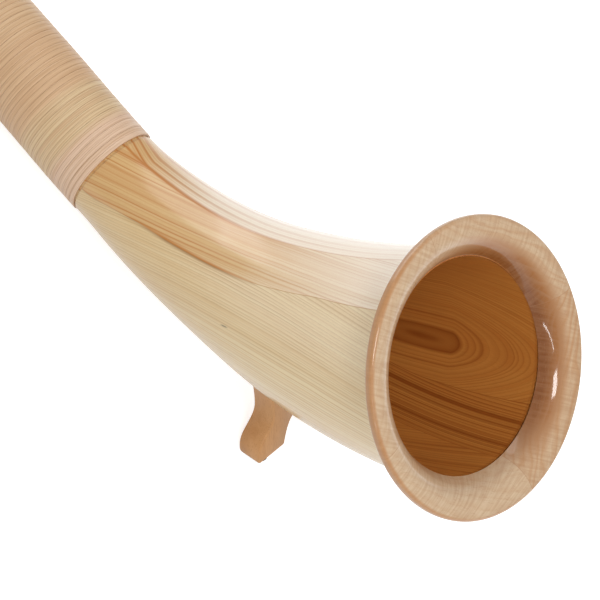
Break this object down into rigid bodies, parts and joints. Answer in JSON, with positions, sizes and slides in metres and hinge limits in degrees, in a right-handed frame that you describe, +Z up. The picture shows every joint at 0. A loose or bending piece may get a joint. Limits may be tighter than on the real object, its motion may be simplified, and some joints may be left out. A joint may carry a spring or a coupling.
{
  "type": "alphorn",
  "caption": "Long conical wooden horn in slip-joined sections, curving at its end into a wide ringed bell that stands on a two-legged foot.",
  "frame": {"origin": "on the floor, under the middle of the parked horn's bounding box", "axes": "+X along the tube towards the bell mouth, +Y to the player's left, +Z up; the horn lies parked on the heel of its foot and on its top ring"},
  "size_m": [3.4576, 0.25, 0.375],
  "materials": {
    "spruce": "clear lacquered spruce, semi-gloss, stained brown inside the bell",
    "maple": "clear lacquered maple, gloss",
    "beech": "clear lacquered beech, satin",
    "cane": "lacquered rattan cane, satin",
    "brass": "turned brass, polished",
    "rubber": "black rubber, matt",
    "pearwood": "turned pearwood, oiled"
  },
  "bodies": {
    "bell_section": {"bell_core_left": "spruce", "bell_core_right": "spruce", "bell_cheek_left": "spruce", "bell_cheek_right": "spruce", "bell_tube_left": "spruce", "bell_tube_right": "spruce", "rim_ring": "maple", "bell_winding_cane": "cane", "bell_winding_upper": "cane", "bell_socket_ring": "maple", "bell_socket_bush": "brass", "bell_foot": "beech", "foot_dowel_left": "beech", "foot_dowel_right": "beech", "foot_pad_left": "rubber", "foot_pad_right": "rubber"},
    "middle_section": {"middle_tube_left": "spruce", "middle_tube_right": "spruce", "middle_winding": "cane", "middle_lower_ring": "maple", "middle_tenon": "brass", "middle_seal_lower": "rubber", "middle_seal_upper": "rubber", "middle_socket_ring": "maple", "middle_socket_bush": "brass"},
    "hand_section": {"hand_tube_left": "spruce", "hand_tube_right": "spruce", "hand_winding": "cane", "hand_lower_ring": "maple", "hand_tenon": "brass", "hand_seal_lower": "rubber", "hand_seal_upper": "rubber", "hand_top_ring": "maple", "mouthpiece_receiver": "brass"},
    "mouthpiece": {"mouthpiece": "pearwood"}
  },
  "joints": [
    {"name": "middle_slide", "type": "slide", "parent": "bell_section", "child": "middle_section", "axis": [-0.9999, 0, -0.0132], "range_m": [0, 0.075]},
    {"name": "hand_slide", "type": "slide", "parent": "middle_section", "child": "hand_section", "axis": [-0.9999, 0, -0.0132], "range_m": [0, 0.075]},
    {"name": "mouthpiece_slide", "type": "slide", "parent": "hand_section", "child": "mouthpiece", "axis": [-0.9999, 0, -0.0132], "range_m": [0, 0.04]}
  ]
}
